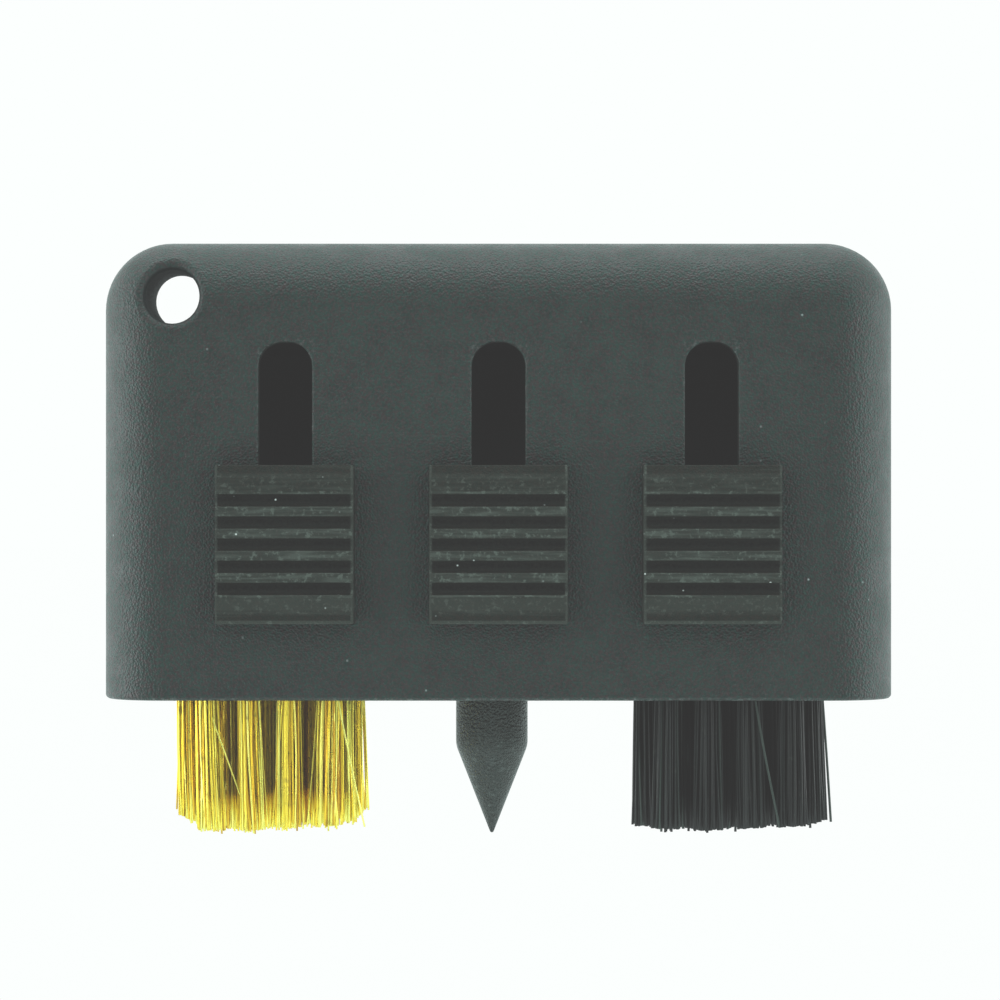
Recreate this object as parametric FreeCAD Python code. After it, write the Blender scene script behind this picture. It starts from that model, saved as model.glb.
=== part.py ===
import FreeCAD
import Part

import math
import os

from FreeCAD import Vector

# Pocket club groove brush, in millimetres.
#
# A one-piece moulded case, open at the bottom, holds three tools side by side: a brass brush, a plastic
# groove pick and a nylon brush. Each tool is a carrier that slides up and down in its own bay, and a
# thumb button outside the front wall is snapped into it through a slot.
#
# X runs to the right as seen from the front, Y to the back, Z up. The origin is on the level of the
# bristle tips, under the centre of the overall box, with all three tools out.

# ---- case ----
case_width = 70.0
case_height = 40.5
case_depth = 13.0
wall = 1.8
corner_radius = 6.0  # the two upper corners, seen from the front
edge_radius = 5.5  # rounding from the front and back faces into the sides and top
rim_rounding = 0.4  # round the outside of the open mouth
rim_chamfer = 0.3  # lead-in round the inside of each bay's mouth

# ---- bays inside the case ----
rib = 1.4  # wall between two bays
guide_rib = 1.2  # rib on the outer side of each outer bay
side_room = 2.0  # empty pocket between that rib and the case's side
rib_set_back = 1.0  # ribs stop this far inside the mouth
slide_gap = 0.2  # play of a carrier in its bay, on each side

# ---- lanyard eye ----
eye_radius = 2.4
eye_wall = 1.2
eye_from_side = 6.3
eye_from_top = 4.95
eye_rounding = 0.6

# ---- carriers ----
set_back = 2.6  # from the mouth up to the carrier's lower face, tool out
block_height = 7.0  # wide part that holds the tufts
tower_height = 11.0  # narrower part that the button snaps into
tower_width = 11.0
tower_front = 2.0
tower_back = 1.2
tower_side = 1.5
head_room = 4.6  # left over the tower with the tool drawn in
hidden = 1.4  # how deep the tips are inside the mouth then
block_rounding = 0.5
pick_pocket_wall = 1.4

# ---- spring tongue and its track ----
tongue_width = 4.0
tongue_thickness = 0.9
tongue_slit = 0.5
tongue_foot = 1.5  # solid wall under the tongue
tongue_top_margin = 1.6
bump_radius = 0.8
bump_rise = 0.45
bump_width = 3.0
bump_from_tip = 1.0
track_gap = 0.05  # between the bump and the track's floor
notch_depth = 0.3
notch_radius = 1.1

# ---- thumb buttons ----
slot_width = 4.7
slot_corner = 2.1
slot_rounding = 0.2
slot_inset = 1.74  # slots of the outer bays sit this much nearer the middle than the bays
stem_gap = 0.1
stem_height = 8.3
stem_root = 0.55  # how deep the stem starts inside the pad
button_lift = 4.15  # button centre above the carrier's block
pad_width = 12.0
pad_height = 13.9
pad_rise = 2.2
pad_gap = 0.15
pad_draft = 0.12  # how much wider each side is at the foot
pad_corner = 0.15
ramp_length = 1.15
ramp_drop = 0.35
scallop_count = 5
scallop_pitch = 1.93
scallop_width = 1.1
scallop_depth = 0.5
crest_rounding = 0.15
prong_width = 3.2
prong_thickness = 1.4
prong_reach = 1.1  # how far the prongs go past the tower's front wall
prong_inset = 0.8  # how far the prongs stand in from the ends of the stem
barb = 0.35
snap_gap = 0.05

# ---- tufts ----
tuft_hole = 2.3
tuft_hole_depth = 5.5
tuft_fit = 0.03
tuft_edge = 0.85  # plastic outside the outermost holes
tuft_tip_gap = 0.15  # free space between the tips of neighbouring tufts
columns = {"front": 4, "middle": 5, "back": 4}
most_columns = max(columns.values())
anchor_thickness = 0.4
anchor_height = 1.5
anchor_bite = 0.2  # how far an anchor cuts into the plastic on each side
anchor_depth_gap = 0.4

# ---- groove pick ----
pick_radius = 3.2
pick_half_angle = 21.5
pick_tip_radius = 0.18
pick_shoulder = 2.5
pick_offset = -0.6  # beside the middle of its carrier

# ---- worked out ----
stand_off = pad_gap + pad_rise
case_y = stand_off / 2  # case's middle plane, so that the whole box is centred on the origin
front_y = case_y - case_depth / 2
back_y = case_y + case_depth / 2
inner_front_y = front_y + wall
inner_back_y = back_y - wall
bay_width = (case_width - 2 * (wall + side_room + guide_rib + rib)) / 3
bay_pitch = bay_width + rib
block_width = bay_width - 2 * slide_gap
block_depth = case_depth - 2 * (wall + slide_gap)
block_front_y = inner_front_y + slide_gap
block_back_y = inner_back_y - slide_gap
travel = case_height - wall - head_room - tower_height - block_height - set_back
rim_z = travel - hidden
top_z = rim_z + case_height
ceiling_z = top_z - wall
block_z = rim_z + set_back
tower_z = block_z + block_height
tower_top_z = tower_z + tower_height
button_z = tower_z + button_lift
slot_x = bay_pitch - slot_inset
stem_width = slot_width - 2 * stem_gap
pad_y = front_y - pad_gap
tongue_tip_z = tower_top_z - tongue_top_margin
bump_z = tongue_tip_z - bump_from_tip
eye_x = -case_width / 2 + eye_from_side
eye_z = top_z - eye_from_top
column_pitch = (block_width - 2 * tuft_edge - tuft_hole) / (most_columns - 1)
row_pitch = (block_depth - 2 * tuft_edge - tuft_hole) / 2
tuft_spacing = min(column_pitch, math.hypot(column_pitch / 2, row_pitch))
tuft_tip_radius = (tuft_spacing - tuft_tip_gap) / 2

X = Vector(1, 0, 0)
Y = Vector(0, 1, 0)
Z = Vector(0, 0, 1)
near = 1e-4
past = 1.0  # how far a cutting shape goes beyond the surface that it cuts


def box(low, high):
    size = [h - l for l, h in zip(low, high)]
    return Part.makeBox(*size, Vector(*low))


def slot_shape(centre_x, low_z, high_z, width, corner, low_y, high_y):
    """An upright opening with rounded corners, running along Y."""
    body = box((centre_x - width / 2, low_y, low_z), (centre_x + width / 2, high_y, high_z))
    return body.makeFillet(corner, [e for e in body.Edges if along(e, Y)])


def along(edge, direction):
    first, last = edge.Vertexes[0].Point, edge.Vertexes[-1].Point
    run = last.sub(first)
    return run.Length > near and run.cross(direction).Length < near * run.Length


def rounded_body(inset):
    """The case's outer shape, or with an inset the space inside its walls."""
    width, depth = case_width - 2 * inset, case_depth - 2 * inset
    low_z = rim_z - (wall if inset else 0)
    body = box((-width / 2, case_y - depth / 2, low_z), (width / 2, case_y + depth / 2, top_z - inset))
    corners = [e for e in body.Edges if along(e, Y) and e.CenterOfMass.z > ceiling_z - near]
    body = body.makeFillet(corner_radius - inset, corners)
    outline = [
        e
        for e in body.Edges
        if abs(abs(e.CenterOfMass.y - case_y) - depth / 2) < near and e.BoundBox.ZMax > low_z + near
    ]
    return body.makeFillet(edge_radius - inset, outline)


def bay_centres():
    return {"brass": -bay_pitch, "pick": 0.0, "nylon": bay_pitch}


def slot_centres():
    return {"brass": -slot_x, "pick": 0.0, "nylon": slot_x}


def track(centre_x):
    """Groove inside the back wall for the tongue's bump, with a deeper notch at each end of the travel."""
    half = bump_width / 2 + slide_gap
    floor_y = block_back_y + bump_rise + track_gap
    groove = box(
        (centre_x - half, inner_back_y - past, bump_z - bump_radius),
        (centre_x + half, floor_y, bump_z + travel + bump_radius),
    )
    notch_y = floor_y + notch_depth - notch_radius
    notches = [
        Part.makeCylinder(notch_radius, 2 * half, Vector(centre_x - half, notch_y, z), X)
        for z in (bump_z, bump_z + travel)
    ]
    return groove.fuse(notches)


def case_shell():
    low, high = rim_z + rib_set_back, top_z
    ribs = []
    for side in (-1, 1):
        inner = side * (bay_pitch / 2)
        outer = side * (bay_pitch + bay_width / 2 + guide_rib / 2)
        for centre, thick in ((inner, rib), (outer, guide_rib)):
            ribs.append(box((centre - thick / 2, front_y, low), (centre + thick / 2, back_y, high)))
    eye = Part.makeCylinder(eye_radius + eye_wall, case_depth, Vector(eye_x, front_y, eye_z), Y)
    hollow = rounded_body(wall).cut(ribs + [eye])
    shell = rounded_body(0).cut(hollow)

    openings = [Part.makeCylinder(eye_radius, case_depth + 2 * past, Vector(eye_x, front_y - past, eye_z), Y)]
    for centre in slot_centres().values():
        low = button_z - stem_height / 2 - stem_gap
        high = button_z + stem_height / 2 + travel + stem_gap
        ends = (front_y - past, inner_front_y + near)
        openings.append(slot_shape(centre, low, high, slot_width, slot_corner, *ends))
        openings.append(track(centre))
    shell = shell.cut(openings).removeSplitter()

    slots = [
        e
        for e in shell.Edges
        if abs(e.CenterOfMass.y - front_y) < near
        and e.BoundBox.YLength < near
        and any(abs(e.CenterOfMass.x - c) < slot_width for c in slot_centres().values())
        and button_z - stem_height < e.CenterOfMass.z < button_z + stem_height / 2 + travel + slot_width
        and e.BoundBox.XLength < slot_width + near
    ]
    shell = shell.makeFillet(slot_rounding, slots)
    eye_rim = [
        e
        for e in shell.Edges
        if all(
            abs(math.hypot(v.Point.x - eye_x, v.Point.z - eye_z) - eye_radius) < near
            and abs(v.Point.y - case_y) > case_depth / 4
            for v in e.Vertexes
        )
        and e.BoundBox.YLength < case_depth / 2
    ]
    shell = shell.makeFillet(eye_rounding, eye_rim)
    outside = [
        e
        for e in shell.Edges
        if abs(e.CenterOfMass.z - rim_z) < near
        and e.BoundBox.ZLength < near
        and (
            abs(e.CenterOfMass.y - case_y) > case_depth / 2 - wall / 2
            or abs(e.CenterOfMass.x) > case_width / 2 - wall / 2
        )
    ]
    shell = shell.makeFillet(rim_rounding, outside)
    mouth = [
        e
        for e in shell.Edges
        if abs(e.CenterOfMass.z - rim_z) < near
        and e.BoundBox.ZLength < near
        and abs(e.CenterOfMass.y - case_y) < case_depth / 2 - wall / 2
        and abs(e.CenterOfMass.x) < case_width / 2 - wall / 2
    ]
    return shell.makeChamfer(rim_chamfer, mouth)


def snap_window(centre_x):
    half_z = stem_height / 2 - prong_inset
    return box(
        (centre_x - prong_width / 2 - snap_gap, block_front_y - past, button_z - half_z - snap_gap),
        (centre_x + prong_width / 2 + snap_gap, block_front_y + tower_front, button_z + half_z + snap_gap),
    )


def tower(centre_x):
    """The hollow upper part of a carrier, open on top, with the spring tongue in its back wall."""
    left, right = centre_x - tower_width / 2, centre_x + tower_width / 2
    body = box((left, block_front_y, tower_z - near), (right, block_back_y, tower_top_z))
    uprights = [e for e in body.Edges if along(e, Z)]
    body = body.makeFillet(block_rounding, uprights)
    inner_back = block_back_y - tower_back
    pocket = box(
        (left + tower_side, block_front_y + tower_front, tower_z),
        (right - tower_side, inner_back, tower_top_z + past),
    )
    half, foot_z = tongue_width / 2, tower_z + tongue_foot
    slits = [
        box((centre_x + s * (half + tongue_slit / 2) - tongue_slit / 2, inner_back - past, foot_z),
            (centre_x + s * (half + tongue_slit / 2) + tongue_slit / 2, back_y, tongue_tip_z))
        for s in (-1, 1)
    ]
    over = box(
        (centre_x - half - tongue_slit, inner_back - past, tongue_tip_z),
        (centre_x + half + tongue_slit, back_y, tongue_tip_z + tongue_slit),
    )
    thinned = box(
        (centre_x - half, inner_back - near, foot_z),
        (centre_x + half, block_back_y - tongue_thickness, tongue_tip_z),
    )
    body = body.cut([pocket, *slits, over, thinned, snap_window(centre_x)])
    bump_y = block_back_y + bump_rise - bump_radius
    bump = Part.makeCylinder(bump_radius, bump_width, Vector(centre_x - bump_width / 2, bump_y, bump_z), X)
    inside = box(
        (centre_x - half, inner_back - bump_radius, bump_z - bump_radius),
        (centre_x + half, block_back_y - tongue_thickness, bump_z + bump_radius),
    )
    return body.fuse(bump.cut(inside))


def carrier(bay_x, tower_x):
    """Wide block in the bay, with the tower on it."""
    half = block_width / 2
    block = box((bay_x - half, block_front_y, block_z), (bay_x + half, block_back_y, tower_z))
    block = block.makeFillet(block_rounding, [e for e in block.Edges if along(e, Z)])
    return block.fuse(tower(tower_x)).removeSplitter()


def tuft_places(bay_x):
    """(row name, number in the row, x, y) of each tuft. The rows of four sit between the five."""
    rows = {"front": -row_pitch, "middle": 0.0, "back": row_pitch}
    for row, count in columns.items():
        for n in range(count):
            yield row, n + 1, bay_x + (n - (count - 1) / 2) * column_pitch, case_y + rows[row]


def anchor(x, y):
    """Flat wire that holds a folded tuft at the bottom of its hole."""
    half_width = tuft_hole / 2 + anchor_bite
    high = block_z + tuft_hole_depth - anchor_depth_gap
    return box(
        (x - half_width, y - anchor_thickness / 2, high - anchor_height),
        (x + half_width, y + anchor_thickness / 2, high),
    )


def brush_block(bay_x, tower_x):
    places = list(tuft_places(bay_x))
    cuts = [anchor(x, y) for _, _, x, y in places]
    for _, _, x, y in places:
        cuts.append(Part.makeCylinder(tuft_hole / 2, tuft_hole_depth, Vector(x, y, block_z), Z))
    return carrier(bay_x, tower_x).cut(cuts)


def tuft(x, y):
    """One bundle of bristles as a plain closed shape: straight in its hole, flared towards the tips."""
    root, tip = tuft_hole / 2 - tuft_fit, tuft_tip_radius
    top = block_z + tuft_hole_depth - tuft_fit
    outline = [(0, 0), (tip, 0), (root, block_z), (root, top), (0, top), (0, 0)]
    face = Part.Face(Part.makePolygon([Vector(x + r, y, z) for r, z in outline]))
    return face.revolve(Vector(x, y, 0), Z, 360).cut(anchor(x, y))


def pick():
    """Carrier and round tapered pick in one moulding."""
    slope = math.tan(math.radians(pick_half_angle))
    axis_x = pick_offset
    cone_length = pick_radius / slope
    root_z = block_z + block_height / 2
    outline = [(0, 0), (pick_radius, cone_length), (pick_radius, root_z), (0, root_z), (0, 0)]
    face = Part.Face(Part.makePolygon([Vector(axis_x + r, case_y, z) for r, z in outline]))
    spike = face.revolve(Vector(axis_x, case_y, 0), Z, 360)
    shoulder = [e for e in spike.Edges if abs(e.CenterOfMass.z - cone_length) < near and not along(e, Z)]
    spike = spike.makeFillet(pick_shoulder, shoulder)
    spread = math.radians(90 - pick_half_angle)
    ball_z = pick_tip_radius / math.sin(math.radians(pick_half_angle))
    cut_z = ball_z - pick_tip_radius * math.cos(spread)
    point = box((axis_x - past, case_y - past, -past), (axis_x + past, case_y + past, cut_z))
    ball = Part.makeSphere(pick_tip_radius, Vector(axis_x, case_y, ball_z))
    spike = spike.cut(point).fuse(ball.common(point))
    spike.translate(Vector(0, 0, pick_tip_radius - ball_z))

    body = carrier(0.0, 0.0)
    half, low_wall = block_width / 2, pick_pocket_wall
    for side in (-1, 1):
        near_x = axis_x + side * (pick_radius + low_wall)
        far_x = side * (half - low_wall)
        body = body.cut(
            box(
                (min(near_x, far_x), block_front_y + low_wall, block_z - past),
                (max(near_x, far_x), block_back_y - low_wall, tower_z - low_wall),
            )
        )
    return body.fuse(spike).removeSplitter()


def pad_profile():
    """Side view of the pad, as a wire in the YZ plane: ramps at both ends and finger scallops between."""
    def at(z, rise):
        return Vector(0, pad_y - rise, button_z + z)

    half = pad_height / 2
    edges = []
    here = at(-half, 0)

    def line_to(there):
        nonlocal here
        edges.append(Part.LineSegment(here, there).toShape())
        here = there

    line_to(at(-half, pad_rise - ramp_drop))
    line_to(at(-half + ramp_length, pad_rise))
    for n in range(scallop_count):
        middle = (n - (scallop_count - 1) / 2) * scallop_pitch
        start, end = middle - scallop_width / 2, middle + scallop_width / 2
        line_to(at(start, pad_rise))
        bottom = at(middle, pad_rise - scallop_depth)
        edges.append(Part.Arc(here, bottom, at(end, pad_rise)).toShape())
        here = at(end, pad_rise)
    line_to(at(half - ramp_length, pad_rise))
    line_to(at(half, pad_rise - ramp_drop))
    line_to(at(half, 0))
    line_to(at(-half, 0))
    return Part.Wire(edges)


def pad_outline(width, y):
    """The pad seen from the front, as a rectangle with rounded corners at the given depth."""
    x, z, r = width / 2, pad_height / 2, pad_corner
    edges = []
    for sx, sz in ((1, 1), (-1, 1), (-1, -1), (1, -1)):
        turn = [Vector(sx * (x - r), y, sz * z), Vector(sx * x, y, sz * (z - r))]
        middle = Vector(sx * (x - r + r * math.sqrt(0.5)), y, sz * (z - r + r * math.sqrt(0.5)))
        if sx * sz < 0:
            turn.reverse()
        edges.append((turn[1], middle, turn[0]))
    wire = []
    for n, (start, middle, end) in enumerate(edges):
        wire.append(Part.Arc(start, middle, end).toShape())
        wire.append(Part.LineSegment(end, edges[(n + 1) % 4][0]).toShape())
    outline = Part.Wire(wire)
    outline.translate(Vector(0, 0, button_z))
    return outline


def thumb_button(centre_x):
    foot = pad_width / 2 + pad_draft
    pad = Part.Face(pad_profile()).extrude(X * (2 * foot))
    pad.translate(Vector(-foot, 0, 0))
    crests = [e for e in pad.Edges if along(e, X) and e.CenterOfMass.y < pad_y - pad_rise + ramp_drop + near]
    pad = pad.makeFillet(crest_rounding, crests)
    outlines = [pad_outline(pad_width + 2 * pad_draft, pad_y), pad_outline(pad_width, pad_y - pad_rise)]
    pad = pad.common(Part.makeLoft(outlines, True, True))

    stem_half = stem_height / 2
    low, high, corner = button_z - stem_half, button_z + stem_half, slot_corner - stem_gap
    stem = slot_shape(0, low, high, stem_width, corner, pad_y - stem_root, block_front_y)
    latch_y = block_front_y + tower_front + snap_gap
    tip_y = block_front_y + tower_front + prong_reach
    prongs = []
    for side in (-1, 1):
        outer = button_z + side * (stem_half - prong_inset)
        inner = outer - side * prong_thickness
        prongs.append(
            box(
                (-prong_width / 2, block_front_y - stem_gap, min(inner, outer)),
                (prong_width / 2, tip_y, max(inner, outer)),
            )
        )
        hook = [(latch_y, outer), (latch_y, outer + side * barb), (tip_y, outer), (latch_y, outer)]
        face = Part.Face(Part.makePolygon([Vector(-prong_width / 2, y, z) for y, z in hook]))
        prongs.append(face.extrude(X * prong_width))
    button = pad.fuse([stem, *prongs]).removeSplitter()
    button.translate(Vector(centre_x, 0, 0))
    return button


def main():
    os.makedirs("parts", exist_ok=True)
    bays, slots = bay_centres(), slot_centres()
    parts = {"case_shell": case_shell(), "groove_pick": pick()}
    for tool, centre_x in slots.items():
        parts[f"{tool}_thumb_button"] = thumb_button(centre_x)
    for tool in ("brass", "nylon"):
        parts[f"{tool}_brush_block"] = brush_block(bays[tool], slots[tool])
        places = list(tuft_places(bays[tool]))
        parts[f"{tool}_tuft_anchors"] = Part.makeCompound([anchor(x, y) for _, _, x, y in places])
        for row, number, x, y in places:
            parts[f"{tool}_tuft_{row}_{number}"] = tuft(x, y)
    for name, shape in parts.items():
        if not shape.isValid() or not shape.Solids:
            raise ValueError(f"{name} is not a valid solid")
        shape.exportStep(f"parts/{name}.step")
        print(f"{name}: {len(shape.Solids)} solid(s), {shape.Volume:.1f} mm3")


main()
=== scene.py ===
import math
import random

import bmesh
import bpy
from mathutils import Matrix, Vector


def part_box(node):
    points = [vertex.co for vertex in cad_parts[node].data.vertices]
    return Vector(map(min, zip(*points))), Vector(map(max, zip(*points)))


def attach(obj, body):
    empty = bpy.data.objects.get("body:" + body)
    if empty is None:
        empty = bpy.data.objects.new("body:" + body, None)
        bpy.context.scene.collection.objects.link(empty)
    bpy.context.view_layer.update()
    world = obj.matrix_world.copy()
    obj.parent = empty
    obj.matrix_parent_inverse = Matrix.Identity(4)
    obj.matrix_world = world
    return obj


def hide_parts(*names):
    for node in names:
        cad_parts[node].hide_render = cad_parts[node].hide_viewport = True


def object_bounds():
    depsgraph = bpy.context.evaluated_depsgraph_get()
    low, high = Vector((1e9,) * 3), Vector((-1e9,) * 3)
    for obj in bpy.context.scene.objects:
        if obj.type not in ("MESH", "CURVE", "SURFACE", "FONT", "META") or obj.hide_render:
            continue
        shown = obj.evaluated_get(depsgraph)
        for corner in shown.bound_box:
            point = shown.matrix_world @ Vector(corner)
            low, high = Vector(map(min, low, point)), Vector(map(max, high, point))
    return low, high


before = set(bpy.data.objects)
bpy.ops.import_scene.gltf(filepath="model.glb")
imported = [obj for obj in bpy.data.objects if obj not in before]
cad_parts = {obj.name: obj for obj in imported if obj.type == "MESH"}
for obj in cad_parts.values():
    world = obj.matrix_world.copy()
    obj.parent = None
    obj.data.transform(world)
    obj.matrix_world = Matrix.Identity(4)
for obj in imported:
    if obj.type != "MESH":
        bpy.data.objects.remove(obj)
cadLow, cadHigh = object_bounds()
mm = 0.001
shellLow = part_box("case_shell")[0]
print("frame loaded:", len(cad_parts), "parts")


def smoothStep(x):
    x = max(0.0, min(1.0, x))
    return x * x * (3 - 2 * x)


def readLine(points, x):
    # the height of a soft line through a few points
    for (x0, y0), (x1, y1) in zip(points, points[1:]):
        if x < x1:
            return y0 + (y1 - y0) * smoothStep((x - x0) / (x1 - x0))
    return points[-1][1]


def pieceFrom(bm, name, material, smooth=True):
    mesh = bpy.data.meshes.new(name)
    bm.to_mesh(mesh)
    bm.free()
    for polygon in mesh.polygons:
        polygon.use_smooth = smooth
    mesh.materials.append(material)
    piece = bpy.data.objects.new(name, mesh)
    bpy.context.scene.collection.objects.link(piece)
    return piece


def addNode(tree, kind, **settings):
    node = tree.nodes.new(kind)
    for name, value in settings.items():
        setattr(node, name, value)
    return node


def calculate(tree, operation, first, second=None):
    node = addNode(tree, "ShaderNodeMath", operation=operation)
    for socket, value in zip(node.inputs, (first, second)):
        if isinstance(value, bpy.types.NodeSocket):
            tree.links.new(value, socket)
        elif value is not None:
            socket.default_value = value
    return node.outputs[0]


def multiply(tree, *values):
    result = values[0]
    for value in values[1:]:
        result = calculate(tree, "MULTIPLY", result, value)
    return result


def remap(tree, value, low, high, toLow=0.0, toHigh=1.0):
    node = addNode(tree, "ShaderNodeMapRange", interpolation_type="SMOOTHSTEP")
    for name, number in (("From Min", low), ("From Max", high), ("To Min", toLow), ("To Max", toHigh)):
        node.inputs[name].default_value = number
    tree.links.new(value, node.inputs["Value"])
    return node.outputs["Result"]


def shifted(ends, start):
    # both ends of a soft edge, counted from a face of the part
    return start + ends[0], start + ends[1]


def mixColours(tree, factor, first, second):
    node = addNode(tree, "ShaderNodeMix", data_type="RGBA")
    for socket, value in ((node.inputs[0], factor), (node.inputs[6], first), (node.inputs[7], second)):
        if isinstance(value, bpy.types.NodeSocket):
            tree.links.new(value, socket)
        elif isinstance(value, (int, float)):
            socket.default_value = value
        else:
            socket.default_value = (*value, 1.0)
    return node.outputs[2]


def makeNoise(tree, place, scale, detail=2.0, roughness=0.5):
    noise = tree.nodes.new("ShaderNodeTexNoise")
    noise.inputs["Scale"].default_value = scale
    noise.inputs["Detail"].default_value = detail
    noise.inputs["Roughness"].default_value = roughness
    tree.links.new(place, noise.inputs["Vector"])
    return noise


def stretched(tree, place, scale, turn=(0, 0, 0)):
    mapping = tree.nodes.new("ShaderNodeMapping")
    mapping.inputs["Rotation"].default_value = turn
    mapping.inputs["Scale"].default_value = scale
    tree.links.new(place, mapping.inputs["Vector"])
    return mapping.outputs["Vector"]


def splitPlace(tree, place):
    split = tree.nodes.new("ShaderNodeSeparateXYZ")
    tree.links.new(place, split.inputs[0])
    return split.outputs["X"], split.outputs["Y"], split.outputs["Z"]


def newGroup(name, inputs, outputs):
    group = bpy.data.node_groups.new(name, "ShaderNodeTree")
    for label, kind, value in inputs:
        socket = group.interface.new_socket(label, in_out="INPUT", socket_type=kind)
        if value is not None:
            socket.default_value = value
    for label, kind in outputs:
        group.interface.new_socket(label, in_out="OUTPUT", socket_type=kind)
    return group, group.nodes.new("NodeGroupInput"), group.nodes.new("NodeGroupOutput")


def makeMouldGrain():
    # spark-eroded mould texture: small round pits over a softer unevenness
    group, given, made = newGroup(
        "mouldGrain",
        [("Vector", "NodeSocketVector", None), ("Grains per metre", "NodeSocketFloat", 4200.0)],
        [(label, "NodeSocketFloat") for label in ("Height", "Grain", "Mottle", "Hue")],
    )
    place, grains = given.outputs["Vector"], given.outputs["Grains per metre"]
    pits = addNode(group, "ShaderNodeTexVoronoi", feature="SMOOTH_F1")
    pits.inputs["Smoothness"].default_value = 0.6
    group.links.new(place, pits.inputs["Vector"])
    group.links.new(grains, pits.inputs["Scale"])
    fine = makeNoise(group, place, 1.0, detail=3.0)
    group.links.new(multiply(group, grains, 1.1), fine.inputs["Scale"])
    soft = makeNoise(group, place, 420.0, detail=5.0, roughness=0.65)
    hue = makeNoise(group, place, 3400.0, detail=3.0, roughness=0.65)
    rough = calculate(group, "ADD", pits.outputs["Distance"], multiply(group, fine.outputs["Fac"], 0.8))
    group.links.new(rough, made.inputs["Height"])
    masks = (("Grain", fine, 0.3, 0.74), ("Mottle", soft, 0.3, 0.7), ("Hue", hue, 0.38, 0.64))
    for label, noise, low, high in masks:
        group.links.new(remap(group, noise.outputs["Fac"], low, high), made.inputs[label])
    return group


def makeHandling():
    # fine scratches from a pocket, and specks of lint and bare plastic
    group, given, made = newGroup(
        "handling",
        [
            ("Vector", "NodeSocketVector", None),
            ("Specks per metre", "NodeSocketFloat", 330.0),
            ("Speck size", "NodeSocketFloat", 0.05),
        ],
        [("Scratches", "NodeSocketFloat"), ("Specks", "NodeSocketFloat"), ("Rubbed", "NodeSocketFloat")],
    )
    place, size = given.outputs["Vector"], given.outputs["Speck size"]
    lines = None
    for turn, scale in ((0.5, (90, 90, 2600)), (-0.9, (110, 110, 2100)), (1.9, (80, 80, 3000))):
        drawn = makeNoise(group, stretched(group, place, scale, (0, turn, 0)), 1.0, detail=1.0)
        line = remap(group, drawn.outputs["Fac"], 0.71, 0.76)
        lines = line if lines is None else calculate(group, "MAXIMUM", lines, line)
    cells = addNode(group, "ShaderNodeTexVoronoi", feature="F1")
    group.links.new(place, cells.inputs["Vector"])
    group.links.new(given.outputs["Specks per metre"], cells.inputs["Scale"])
    edge = group.nodes.new("ShaderNodeMapRange")
    group.links.new(cells.outputs["Distance"], edge.inputs["Value"])
    group.links.new(size, edge.inputs["From Min"])
    group.links.new(multiply(group, size, 0.4), edge.inputs["From Max"])
    each = group.nodes.new("ShaderNodeSeparateColor")
    group.links.new(cells.outputs["Color"], each.inputs[0])
    specks = multiply(group, edge.outputs["Result"], remap(group, each.outputs[0], 0.2, 1.0))
    rubbed = makeNoise(group, place, 1700.0, detail=4.0, roughness=0.7)
    group.links.new(lines, made.inputs["Scratches"])
    group.links.new(specks, made.inputs["Specks"])
    group.links.new(remap(group, rubbed.outputs["Fac"], 0.5, 0.68), made.inputs["Rubbed"])
    return group


mouldGrain = makeMouldGrain()
handling = makeHandling()


def newMaterial(name):
    material = bpy.data.materials.new(name)
    material.use_nodes = True
    tree = material.node_tree
    shader = tree.nodes["Principled BSDF"]
    place = tree.nodes.new("ShaderNodeTexCoord").outputs["Object"]
    return material, tree, shader, place


def useGroup(tree, group, place, **values):
    node = tree.nodes.new("ShaderNodeGroup")
    node.node_tree = group
    tree.links.new(place, node.inputs["Vector"])
    for key, value in values.items():
        node.inputs[key].default_value = value
    return node


def bumpInto(tree, shader, height, strength, distance):
    bump = tree.nodes.new("ShaderNodeBump")
    bump.inputs["Strength"].default_value = strength
    bump.inputs["Distance"].default_value = distance
    tree.links.new(height, bump.inputs["Height"])
    tree.links.new(bump.outputs["Normal"], shader.inputs["Normal"])


def mouldedPlastic(name, look, wearAndShade):
    # wear gives the masks of one kind of part: its worn places, with painted highlight on some parts, and its
    # painted-shade places
    material, tree, shader, place = newMaterial(name)
    grain = useGroup(tree, mouldGrain, place, **{"Grains per metre": look["grainsPerMetre"]})
    speckLook = {"Specks per metre": look["specksPerMetre"], "Speck size": look["speckSize"]}
    marks = useGroup(tree, handling, place, **speckLook)
    fine = multiply(tree, grain.outputs["Grain"], 0.65)
    tone = calculate(tree, "ADD", fine, multiply(tree, grain.outputs["Mottle"], 0.35))
    colour = mixColours(tree, tone, look["dark"], look["light"])
    colour = mixColours(tree, multiply(tree, grain.outputs["Hue"], look["hueShare"]), colour, look["warm"])
    scratched = multiply(tree, marks.outputs["Scratches"], look["scratches"])
    colour = mixColours(tree, scratched, colour, look["worn"])
    rough = remap(tree, grain.outputs["Mottle"], 0.0, 1.0, look["roughness"] - 0.05, look["roughness"] + 0.05)
    worn, paintedShade = wearAndShade(tree, place, marks)
    # painted shade: darkened towards the shade colour where the mask marks shade
    if paintedShade:
        colour = mixColours(tree, paintedShade, colour, look["grime"])
        rough = calculate(tree, "MAXIMUM", rough, paintedShade)
    # lighter where worn, and where a painted highlight is marked
    colour = mixColours(tree, worn, colour, look["worn"])
    colour = mixColours(tree, multiply(tree, marks.outputs["Specks"], look["specks"]), colour, look["lint"])
    tree.links.new(colour, shader.inputs["Base Color"])
    tree.links.new(rough, shader.inputs["Roughness"])
    shader.inputs["Specular IOR Level"].default_value = look["gloss"]
    shader.inputs["Specular Tint"].default_value = (*look["glossTint"], 1)
    bumpInto(tree, shader, grain.outputs["Height"], look["bump"], look["bumpDepth"])
    return material


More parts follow.
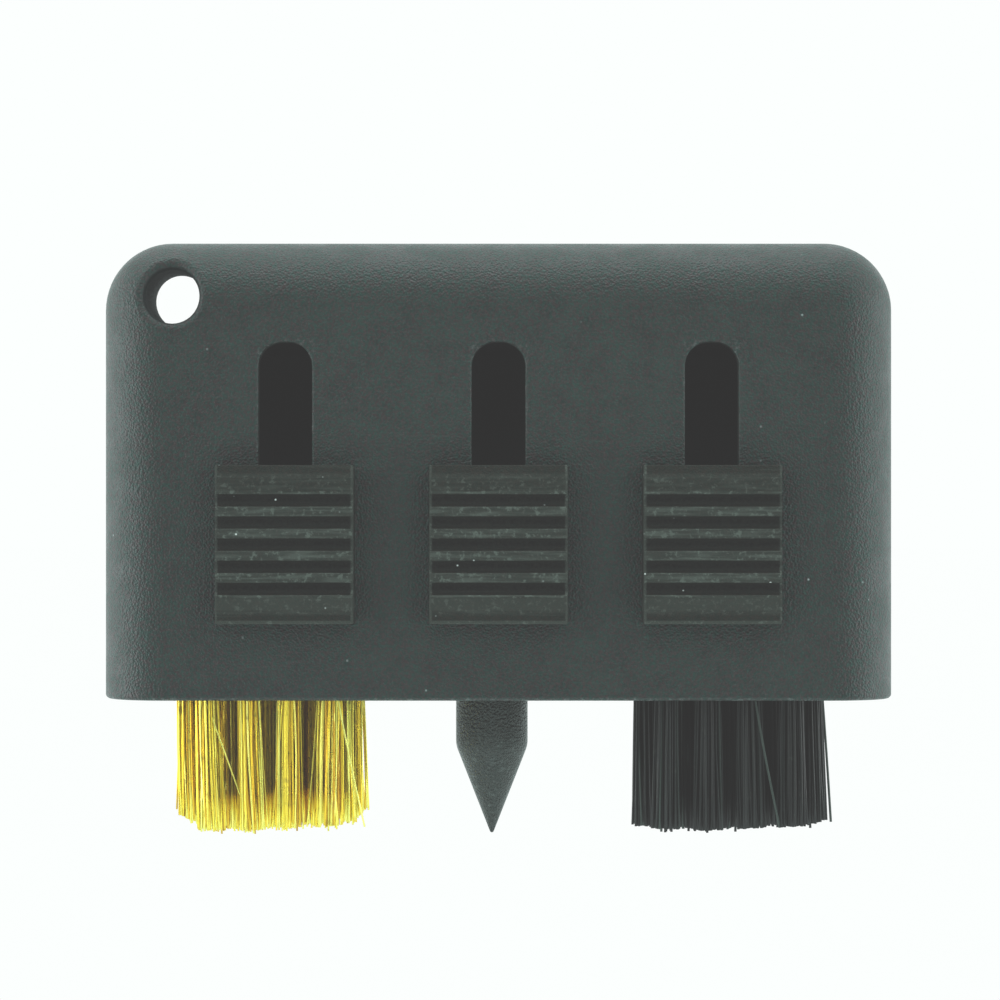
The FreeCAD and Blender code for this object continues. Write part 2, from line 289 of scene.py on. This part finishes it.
def besideTool(tree, across, pitch):
    # how far a place is from the middle line of the nearest of the three tools
    wrapped = addNode(tree, "ShaderNodeMath", operation="WRAP")
    wrapped.inputs[1].default_value, wrapped.inputs[2].default_value = -pitch / 2, pitch / 2
    tree.links.new(across, wrapped.inputs[0])
    return calculate(tree, "ABSOLUTE", wrapped.outputs[0])


case = {
    "dark": (0.0, 0.003, 0.003),
    "light": (0.001, 0.032, 0.022),
    "warm": (0.034, 0.004, 0.008),
    "hueShare": 0.7,
    "worn": (0.07, 0.09, 0.085),
    "grime": (0.001, 0.001, 0.001),
    "lint": (0.5, 0.55, 0.55),
    "roughness": 0.52,
    "gloss": 0.46,
    "glossTint": (0.8, 1.0, 0.98),
    "grainsPerMetre": 5000.0,
    "bump": 1.0,
    "bumpDepth": 0.07 * mm,
    "scratches": 0.05,
    "specks": 0.5,
    "specksPerMetre": 330.0,
    "speckSize": 0.045,
    "rimBand": 0.35 * mm,
    # the slots' lighter edges, rubbed in places and partly a painted edge highlight: half a slot's width, how
    # far the lighter band spreads, and where it fades out
    "slotHalf": 2.35 * mm,
    "slotEdge": 0.35 * mm,
    "slotFace": (0.6 * mm, 0.2 * mm),
    "slotLower": (31 * mm, 33 * mm),
    "slotUpper": (44.2 * mm, 43.4 * mm),
    "slotWear": 0.6,
    # painted shade on the wall of the lanyard hole, which fades off over its rounded lip
    "eye": (-28.75 * mm, 0.0, 47.7 * mm),
    "eyeDark": (2.75 * mm, 2.43 * mm),
}


def caseWearAndShade(tree, place, marks):
    # the lower rim and the slots' edges are rubbed in places, with a painted highlight along the slots'
    # edges, and painted shade lies in the lanyard hole
    across, deep, up = splitPlace(tree, place)
    rim = remap(tree, up, shellLow.z + case["rimBand"], shellLow.z + 0.5 * case["rimBand"])
    buttonLow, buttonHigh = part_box("nylon_thumb_button")
    off = besideTool(tree, across, (buttonLow.x + buttonHigh.x) / 2)
    # lighter band along the slots' edges, part rubbing and part painted edge highlight
    edge = multiply(
        tree,
        remap(tree, off, case["slotHalf"] + case["slotEdge"], case["slotHalf"]),
        remap(tree, deep, *shifted(case["slotFace"], shellLow.y)),
        remap(tree, up, *case["slotLower"]),
        remap(tree, up, *case["slotUpper"]),
        case["slotWear"],
    )
    worn = calculate(tree, "MAXIMUM", rim, edge)
    # painted shade on the lanyard hole's wall, fading out over its lip
    level = tree.nodes.new("ShaderNodeCombineXYZ")
    tree.links.new(across, level.inputs["X"])
    tree.links.new(up, level.inputs["Z"])
    fromEye = addNode(tree, "ShaderNodeVectorMath", operation="DISTANCE")
    fromEye.inputs[1].default_value = case["eye"]
    tree.links.new(level.outputs[0], fromEye.inputs[0])
    paintedShade = remap(tree, fromEye.outputs["Value"], *case["eyeDark"])
    return multiply(tree, worn, marks.outputs["Rubbed"]), paintedShade


casePlastic = mouldedPlastic("casePlastic", case, caseWearAndShade)

button = {
    "dark": (0.001, 0.003, 0.002),
    "light": (0.010, 0.016, 0.012),
    "warm": (0.017, 0.009, 0.007),
    "hueShare": 0.6,
    "worn": (0.075, 0.09, 0.078),
    "grime": (0.002, 0.002, 0.002),
    "lint": (0.75, 0.8, 0.78),
    "roughness": 0.52,
    "gloss": 0.17,
    "glossTint": (0.88, 1.0, 0.93),
    "grainsPerMetre": 6500.0,
    "bump": 0.8,
    "bumpDepth": 0.045 * mm,
    "scratches": 0.1,
    "specks": 1.0,
    "specksPerMetre": 620.0,
    "speckSize": 0.075,
    "draft": 0.12 * mm,
    "outline": 0.26 * mm,
    "outlineDepth": (1.2 * mm, 0.9 * mm),
    "outlineWear": 0.85,
    "crestDepth": (0.16 * mm, 0.0),
    "crestWear": 1.0,
    "endWear": 0.45,
    # painted shade in the grooves: how deep it starts and ends, the ribbed part's half height, and how
    # faint it is where the surface faces up
    "grimeStart": (0.02 * mm, 0.48 * mm),
    "grimeEnd": (0.6 * mm, 0.53 * mm),
    "ribbed": (4.7 * mm, 4.55 * mm),
    "grimeFacingUp": 0.55,
    # painted highlight on the ridges where the sloping ends begin: from and to, above the pad's foot, and how
    # strong
    "ridges": ((1.05 * mm, 2.2 * mm, 0.6), (12.3 * mm, 13.0 * mm, 0.3)),
    "ridgeEdge": (0.15 * mm, 0.1 * mm),
    "drag": (260, 260, 3200),
}


def buttonWearAndShade(tree, place, marks):
    # thumbs rub the crests; a painted highlight, patchy like rubbing, lies along the pad's outline and its
    # ridges, and painted shade lies in the grooves
    across, deep, up = splitPlace(tree, place)
    low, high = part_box("nylon_thumb_button")
    middle, half = (low + high) / 2, (high - low) / 2
    foot = low.z + button["draft"]
    sides = half.x - button["draft"]
    beside = besideTool(tree, across, middle.x)
    # painted highlight along the pad's outline, where its rounded edge would catch the light
    outline = remap(tree, beside, sides - button["outline"], sides - 0.4 * button["outline"])
    under = remap(tree, up, foot + button["outline"], foot + 0.4 * button["outline"])
    outline = calculate(tree, "MAXIMUM", outline, under)
    patchy = remap(tree, marks.outputs["Rubbed"], 0.0, 1.0, 0.4, 1.0)
    near = remap(tree, deep, *shifted(button["outlineDepth"], low.y))
    worn = multiply(tree, outline, near, patchy, button["outlineWear"])
    # painted highlight on the ridges where the sloping ends begin
    outside, inside = button["ridgeEdge"]
    for start, end, highlightShare in button["ridges"]:
        fromStart = remap(tree, up, foot + start - outside, foot + start + inside)
        toEnd = remap(tree, up, foot + end + outside, foot + end - inside)
        worn = calculate(tree, "MAXIMUM", worn, multiply(tree, fromStart, toEnd, patchy, highlightShare))
    drag = makeNoise(tree, stretched(tree, place, button["drag"]), 1.0, detail=3.0)
    dragged = multiply(tree, remap(tree, drag.outputs["Fac"], 0.4, 0.75), 0.55)
    rubbed = calculate(tree, "ADD", dragged, remap(tree, marks.outputs["Rubbed"], 0.0, 1.0, 0.2, 1.2))
    fromMiddle = calculate(tree, "ABSOLUTE", calculate(tree, "SUBTRACT", up, middle.z))
    crest = multiply(
        tree,
        remap(tree, deep, *shifted(button["crestDepth"], low.y)),
        rubbed,
        button["crestWear"],
        remap(tree, fromMiddle, *button["ribbed"], button["endWear"], 1.0),
    )
    # painted shade in the grooves: deeper places darker, fainter where the surface faces up towards the light
    facing = splitPlace(tree, tree.nodes.new("ShaderNodeNewGeometry").outputs["Normal"])[2]
    uneven = makeNoise(tree, place, 5200.0, detail=2.0)
    paintedShade = multiply(
        tree,
        remap(tree, fromMiddle, *button["ribbed"]),
        remap(tree, deep, *shifted(button["grimeStart"], low.y)),
        remap(tree, deep, *shifted(button["grimeEnd"], low.y)),
        remap(tree, facing, -0.2, 0.8, 1.0, button["grimeFacingUp"]),
        remap(tree, uneven.outputs["Fac"], 0.35, 0.65, 0.7, 1.0),
    )
    return calculate(tree, "MAXIMUM", crest, worn), paintedShade


buttonPlastic = mouldedPlastic("buttonPlastic", button, buttonWearAndShade)

carrier = {
    "dark": (0.004, 0.005, 0.005),
    "light": (0.012, 0.015, 0.014),
    "warm": (0.014, 0.010, 0.009),
    "hueShare": 0.4,
    "worn": (0.04, 0.045, 0.042),
    "lint": (0.4, 0.42, 0.4),
    "roughness": 0.5,
    "gloss": 0.4,
    "glossTint": (0.85, 1.0, 0.95),
    "grainsPerMetre": 3000.0,
    "bump": 0.2,
    "bumpDepth": 0.02 * mm,
    "scratches": 0.2,
    "specks": 0.1,
    "specksPerMetre": 330.0,
    "speckSize": 0.04,
    # the worn runners: where they begin, inside the front and back faces, and how worn
    "runners": (0.75 * mm, 0.6 * mm),
    "runnerWear": 0.4,
}


def carrierWear(tree, place, marks):
    # the front and back run along the case's walls
    deep = splitPlace(tree, place)[1]
    low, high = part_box("brass_brush_block")
    middle, half = (low.y + high.y) / 2, (high.y - low.y) / 2
    off = calculate(tree, "ABSOLUTE", calculate(tree, "SUBTRACT", deep, middle))
    begin, full = carrier["runners"]
    run = remap(tree, off, half - begin, half - full)
    return multiply(tree, run, marks.outputs["Rubbed"], carrier["runnerWear"]), None


carrierPlastic = mouldedPlastic("carrierPlastic", carrier, carrierWear)

pick = {
    "dark": (0.0, 0.001, 0.001),
    "light": (0.010, 0.016, 0.012),
    "warm": (0.016, 0.008, 0.006),
    "hueShare": 0.45,
    "worn": (0.07, 0.085, 0.08),
    "lint": (0.6, 0.65, 0.63),
    "roughness": 0.5,
    "gloss": 0.5,
    "glossTint": (0.85, 1.0, 0.96),
    "grainsPerMetre": 4600.0,
    "bump": 1.0,
    "bumpDepth": 0.15 * mm,
    "scratches": 0.15,
    "specks": 0.5,
    "specksPerMetre": 450.0,
    "speckSize": 0.06,
    # painted light on the lower cone: the heights where it starts and where it is full, and its weakest and
    # strongest
    "scuffed": (9.6 * mm, 7.6 * mm),
    "scuffs": (0.1, 0.6),
}


def pickConeLight(tree, place, marks):
    # painted light on the cone, as if lit from below, patchy like rubbing
    up = splitPlace(tree, place)[2]
    near = remap(tree, up, *pick["scuffed"])
    return multiply(tree, near, remap(tree, marks.outputs["Rubbed"], 0.0, 1.0, *pick["scuffs"])), None


pickPlastic = mouldedPlastic("pickPlastic", pick, pickConeLight)


anchors = {
    "dark": (0.42, 0.42, 0.41),
    "light": (0.62, 0.62, 0.6),
    "roughness": (0.28, 0.42),
    "brushed": (400, 9000, 9000),
}


def brushedSteel():
    material, tree, shader, place = newMaterial("anchorSteel")
    lines = makeNoise(tree, stretched(tree, place, anchors["brushed"]), 1.0).outputs["Fac"]
    tree.links.new(mixColours(tree, lines, anchors["dark"], anchors["light"]), shader.inputs["Base Color"])
    tree.links.new(remap(tree, lines, 0.2, 0.8, *anchors["roughness"]), shader.inputs["Roughness"])
    shader.inputs["Metallic"].default_value = 1.0
    return material


anchorSteel = brushedSteel()

finishes = {
    "case_shell": (casePlastic, "case_plastic"),
    "groove_pick": (pickPlastic, "pick_plastic"),
}
for tool in ("brass", "pick", "nylon"):
    finishes[f"{tool}_thumb_button"] = (buttonPlastic, "button_plastic")
for tool in ("brass", "nylon"):
    finishes[f"{tool}_brush_block"] = (carrierPlastic, "carrier_plastic")
    finishes[f"{tool}_tuft_anchors"] = (anchorSteel, "anchor_steel")
for node, (material, slotName) in finishes.items():
    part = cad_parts[node]
    part.data.materials.clear()
    part.data.materials.append(material)
print("moulded parts finished:", len(finishes))


brass = {
    "strands": 84,
    "radius": 0.088 * mm,
    "rootRadius": 1.03 * mm,
    "tipRadius": 1.26 * mm,
    "scatter": 0.14 * mm,
    "bow": 0.1 * mm,
    "crossing": 0.1,
    "strays": 0.05,
    "strayReach": 0.8 * mm,
    "uneven": 0.22 * mm,
    "longer": 0.12,
    # how far the tips lean to the right, in mm
    "lean": {
        "front_1": 0.6, "front_2": 0.45, "front_3": 0.05, "front_4": -0.1,
        "middle_1": 0.25, "middle_5": 0.15,
    },
    # bent wires that leave their tuft: root and tip, beside the tuft's middle, in mm
    "wild": {"front_1": ((-1.0, -0.9), (4.1, -0.2)), "front_4": ((0.3, -1.0), (3.1, -0.7))},
    # height of the cut tips above the longest ones, from one side of the brush to the other, in mm
    "cutLine": (
        (0.0, 2.2), (0.9, 1.5), (1.9, 1.0), (3.0, 0.35), (6.0, 0.35),
        (10.0, 0.55), (13.5, 0.7), (16.2, 0.9), (17.4, 1.9),
    ),
    "seed": 11,
    # colour from the darkest wires to the brightest, and the stains on them
    "tones": (
        (0.0, (0.45, 0.22, 0.02)), (0.2, (0.92, 0.62, 0.04)),
        (0.5, (1.0, 0.8, 0.07)), (1.0, (1.0, 0.97, 0.24)),
    ),
    "tarnish": (0.25, 0.15, 0.03),
    "roughness": (0.24, 0.48),
}
nylon = {
    "strands": 62,
    "radius": 0.122 * mm,
    "rootRadius": 1.0 * mm,
    "tipRadius": 1.28 * mm,
    "scatter": 0.08 * mm,
    "bow": 0.08 * mm,
    "crossing": 0.03,
    "strays": 0.03,
    "strayReach": 0.6 * mm,
    "uneven": 0.12 * mm,
    "longer": 0.08,
    "lean": {"front_1": -0.1, "front_2": 0.05, "front_3": 0.3, "front_4": 0.1, "middle_5": 0.25},
    "wild": {"front_3": ((0.0, -0.9), (2.6, -0.9)), "middle_5": ((1.0, 0.2), (1.95, 0.2))},
    "cutLine": ((0.0, 0.6), (4.0, 0.5), (6.0, 0.35), (9.5, 0.45), (11.0, 0.65), (16.5, 0.8), (17.4, 1.1)),
    "seed": 23,
    "dark": (0.002, 0.003, 0.003),
    "light": (0.009, 0.013, 0.012),
    "pale": (0.034, 0.05, 0.042),
    "dust": (0.07, 0.08, 0.07),
    "roughness": (0.4, 0.55),
    "gloss": 0.3,
}
# what both kinds share: reach is how far a tip may be from its tuft's middle, and longerBy is in mm
bristles = {
    "sides": 6,
    "bends": 4,
    "inHole": 2.2 * mm,
    "reach": 2.0 * mm,
    "turn": math.pi * (3 - math.sqrt(5)),
    "turnPlay": 0.15,
    "tuftLean": 0.06 * mm,
    "crossingReach": 0.9,
    "longerBy": (0.1, 0.35),
}


def brassWire():
    material, tree, shader, place = newMaterial("brassWire")
    tone = addNode(tree, "ShaderNodeAttribute", attribute_name="strandTone")
    ramp = tree.nodes.new("ShaderNodeValToRGB")
    while len(ramp.color_ramp.elements) < len(brass["tones"]):
        ramp.color_ramp.elements.new(0.5)
    for element, (position, colour) in zip(ramp.color_ramp.elements, brass["tones"]):
        element.position = position
        element.color = (*colour, 1.0)
    tree.links.new(tone.outputs["Fac"], ramp.inputs["Fac"])
    tarnish = makeNoise(tree, place, 900.0, detail=4.0)
    stained = remap(tree, tarnish.outputs["Fac"], 0.6, 0.78, 0.0, 0.6)
    colour = mixColours(tree, stained, ramp.outputs["Color"], brass["tarnish"])
    tree.links.new(colour, shader.inputs["Base Color"])
    rough = remap(tree, tarnish.outputs["Fac"], 0.3, 0.75, *brass["roughness"])
    tree.links.new(rough, shader.inputs["Roughness"])
    shader.inputs["Metallic"].default_value = 1.0
    bumpInto(tree, shader, tarnish.outputs["Fac"], 0.15, 0.02 * mm)
    return material


def nylonBristle():
    material, tree, shader, place = newMaterial("nylonBristle")
    tone = addNode(tree, "ShaderNodeAttribute", attribute_name="strandTone")
    colour = mixColours(tree, tone.outputs["Fac"], nylon["dark"], nylon["light"])
    pale = remap(tree, tone.outputs["Fac"], 0.88, 0.97)
    colour = mixColours(tree, pale, colour, nylon["pale"])
    dust = makeNoise(tree, place, 1500.0, detail=3.0)
    dusty = remap(tree, dust.outputs["Fac"], 0.6, 0.75, 0.0, 0.3)
    tree.links.new(mixColours(tree, dusty, colour, nylon["dust"]), shader.inputs["Base Color"])
    rough = remap(tree, dust.outputs["Fac"], 0.3, 0.7, *nylon["roughness"])
    tree.links.new(rough, shader.inputs["Roughness"])
    shader.inputs["Specular IOR Level"].default_value = nylon["gloss"]
    bumpInto(tree, shader, dust.outputs["Fac"], 0.1, 0.02 * mm)
    return material


def aside(chance, reach):
    # a step of the given length in a random level direction
    turn = chance.uniform(0, 2 * math.pi)
    return Vector((math.cos(turn), math.sin(turn), 0)) * reach


def scattered(chance, reach):
    return Vector((chance.gauss(0, 1), chance.gauss(0, 1), 0)) * reach


def kept(offset, reach):
    # no bristle reaches so far out that it would scrape the bay when it is drawn in
    return Vector((max(-reach, min(reach, offset.x)), max(-reach, min(reach, offset.y)), 0))


def makeTuft(tool, node, look, material, chance):
    low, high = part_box(node)
    middle = Vector(((low.x + high.x) / 2, (low.y + high.y) / 2, 0))
    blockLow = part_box(f"{tool}_brush_block")[0]
    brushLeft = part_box(f"{tool}_tuft_middle_1")[0].x
    place = node.split("_tuft_")[1]
    face, top = blockLow.z, blockLow.z + bristles["inHole"]
    lean = Vector((look["lean"].get(place, 0.0), 0, 0)) * mm + scattered(chance, bristles["tuftLean"])
    bm = bmesh.new()
    tone = bm.verts.layers.float.new("strandTone")
    radius = look["radius"]
    made = bmesh.ops.create_cone(
        bm, cap_ends=True, segments=bristles["sides"], radius1=radius, radius2=radius, depth=1.0
    )
    bmesh.ops.translate(bm, vec=(0, 0, -0.5), verts=made["verts"])
    sides = [e for e in bm.edges if abs(e.verts[0].co.z - e.verts[1].co.z) > 0.5]
    bmesh.ops.subdivide_edges(bm, edges=sides, cuts=bristles["bends"])
    pattern = bm.verts[:] + bm.edges[:] + bm.faces[:]
    for n in range(look["strands"]):
        share = math.sqrt((n + 0.5) / look["strands"])
        angle = n * bristles["turn"] + chance.uniform(-bristles["turnPlay"], bristles["turnPlay"])
        out = Vector((math.cos(angle), math.sin(angle), 0)) * share
        root = middle + out * look["rootRadius"]
        spread = out * look["tipRadius"]
        if chance.random() < look["crossing"]:
            spread = aside(chance, look["tipRadius"] * bristles["crossingReach"])
        spread += scattered(chance, look["scatter"]) + lean
        if chance.random() < look["strays"]:
            spread += aside(chance, look["strayReach"])
        tip = middle + kept(spread, bristles["reach"])
        tip.z = low.z + readLine(look["cutLine"], (tip.x - brushLeft) / mm) * mm
        tip.z += abs(chance.gauss(0, 1)) * look["uneven"]
        if chance.random() < look["longer"]:
            tip.z -= chance.uniform(*bristles["longerBy"]) * mm
        tip.z = max(low.z, tip.z)
        bow = scattered(chance, look["bow"])
        shade = chance.random()
        if n == 0 and place in look["wild"]:
            (rootX, rootY), (tipX, tipY) = look["wild"][place]
            root = middle + Vector((rootX, rootY, 0)) * mm
            tip = middle + Vector((tipX, tipY, 0)) * mm + Vector((0, 0, tip.z))
            shade = 1.0
        for v in bmesh.ops.duplicate(bm, geom=pattern)["geom"]:
            if isinstance(v, bmesh.types.BMVert):
                z = top + v.co.z * (top - tip.z)
                past = max(0.0, (face - z) / (face - tip.z))
                centre = root.lerp(tip, past) + bow * math.sin(math.pi * past)
                v.co = Vector((centre.x + v.co.x, centre.y + v.co.y, z))
                v[tone] = shade
    bmesh.ops.delete(bm, geom=[g for g in pattern if isinstance(g, bmesh.types.BMVert)], context="VERTS")
    tuft = pieceFrom(bm, tool + "Tuft" + place.title().replace("_", ""), material)
    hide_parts(node)
    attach(tuft, f"{tool}_slide")


for tool, look, material in (("brass", brass, brassWire()), ("nylon", nylon, nylonBristle())):
    pickRandom = random.Random(look["seed"])
    for node in sorted(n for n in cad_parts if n.startswith(f"{tool}_tuft_") and n[-1].isdigit()):
        makeTuft(tool, node, look, material, pickRandom)
    print(tool, "tufts made")


studio = {
    "floorRadius": 2.0,
    "seenWhite": (0.973, 1.0, 0.991),
    "light": (0.85, 1.0, 0.98),
    "towardsCamera": 0.03,
    "darkCone": (-1.0, -0.655),
    "besides": 1.42,
    "behind": 1.8,
    "veil": 0.033,
    # name, place from the middle of the object, size, watts
    "lights": [
        ("overhead", (0.0, 0.0, 0.5), (0.5, 0.35), 1.35),
        ("leftSoftbox", (-0.5, 0.0, 0.0), (0.4, 0.4), 1.65),
        ("rightSoftbox", (0.5, 0.0, 0.0), (0.4, 0.4), 1.2),
    ],
}
view = {
    "distance": 330 * mm,
    "widthSeen": 87.76 * mm,
    "right": 0.13 * mm,
    "height": 29.74 * mm,
    "sensor": 36.0,
}


def splitView(tree, lit, seen, output):
    # the camera sees one thing, and the object is lit by another
    path = tree.nodes.new("ShaderNodeLightPath")
    mix = tree.nodes.new("ShaderNodeMixShader")
    for socket, source in zip(mix.inputs, (path.outputs["Is Camera Ray"], lit.outputs[0], seen.outputs[0])):
        tree.links.new(source, socket)
    tree.links.new(mix.outputs[0], tree.nodes[output].inputs["Surface"])


def makeFloor():
    # the camera sees a plain pale floor, and the object is lit as if the white tent went on below
    bm = bmesh.new()
    bmesh.ops.create_circle(bm, cap_ends=True, segments=96, radius=studio["floorRadius"])
    material, tree, shader, place = newMaterial("paleFloor")
    paper = makeNoise(tree, place, 30.0)
    seen = tree.nodes.new("ShaderNodeEmission")
    white = Vector(studio["seenWhite"])
    tree.links.new(mixColours(tree, paper.outputs["Fac"], white, white * 0.995), seen.inputs["Color"])
    splitView(tree, tree.nodes.new("ShaderNodeBsdfTransparent"), seen, "Material Output")
    tree.nodes.remove(shader)
    pieceFrom(bm, "floor", material, smooth=False)


def makeWorld():
    # a white tent with a dark opening on the camera's side
    world = bpy.data.worlds.new("studio")
    bpy.context.scene.world = world
    world.use_nodes = True
    tree = world.node_tree
    lit = tree.nodes["Background"]
    lit.inputs["Color"].default_value = (*studio["light"], 1)
    away = splitPlace(tree, tree.nodes.new("ShaderNodeTexCoord").outputs["Generated"])[1]
    front = remap(tree, away, *studio["darkCone"], studio["towardsCamera"], studio["besides"])
    back = remap(tree, away, 0.2, 1.0, 0.0, studio["behind"] - studio["besides"])
    tree.links.new(calculate(tree, "ADD", front, back), lit.inputs["Strength"])
    seen = tree.nodes.new("ShaderNodeBackground")
    seen.inputs["Color"].default_value = (*studio["seenWhite"], 1)
    splitView(tree, lit, seen, "World Output")


def setFilm():
    # plain colours, with the slight veil that stray light lays over the darkest parts
    settings = bpy.context.scene.view_settings
    settings.view_transform = "Standard"
    settings.use_curve_mapping = True
    curve = settings.curve_mapping.curves[3]
    curve.points[0].location = (0.0, studio["veil"])
    curve.points[-1].location = (1.0, 1.0)
    settings.curve_mapping.update()


def makeLights():
    middle = (cadLow + cadHigh) / 2
    for name, place, size, watts in studio["lights"]:
        data = bpy.data.lights.new(name, "AREA")
        data.shape = "RECTANGLE"
        data.size, data.size_y = size
        data.energy = watts
        light = bpy.data.objects.new(name, data)
        light.location = middle + Vector(place)
        light.rotation_mode = "QUATERNION"
        light.rotation_quaternion = (-Vector(place)).to_track_quat("-Z", "Y")
        bpy.context.scene.collection.objects.link(light)


def makeCamera():
    data = bpy.data.cameras.new("camera")
    data.sensor_width = view["sensor"]
    data.lens = view["sensor"] * view["distance"] / view["widthSeen"]
    data.clip_start, data.clip_end = 0.01, 10
    camera = bpy.data.objects.new("camera", data)
    camera.location = (view["right"], shellLow.y - view["distance"], view["height"])
    camera.rotation_euler = (math.pi / 2, 0, 0)
    bpy.context.scene.collection.objects.link(camera)
    bpy.context.scene.camera = camera


makeFloor()
makeWorld()
makeLights()
makeCamera()
setFilm()
print("studio set")
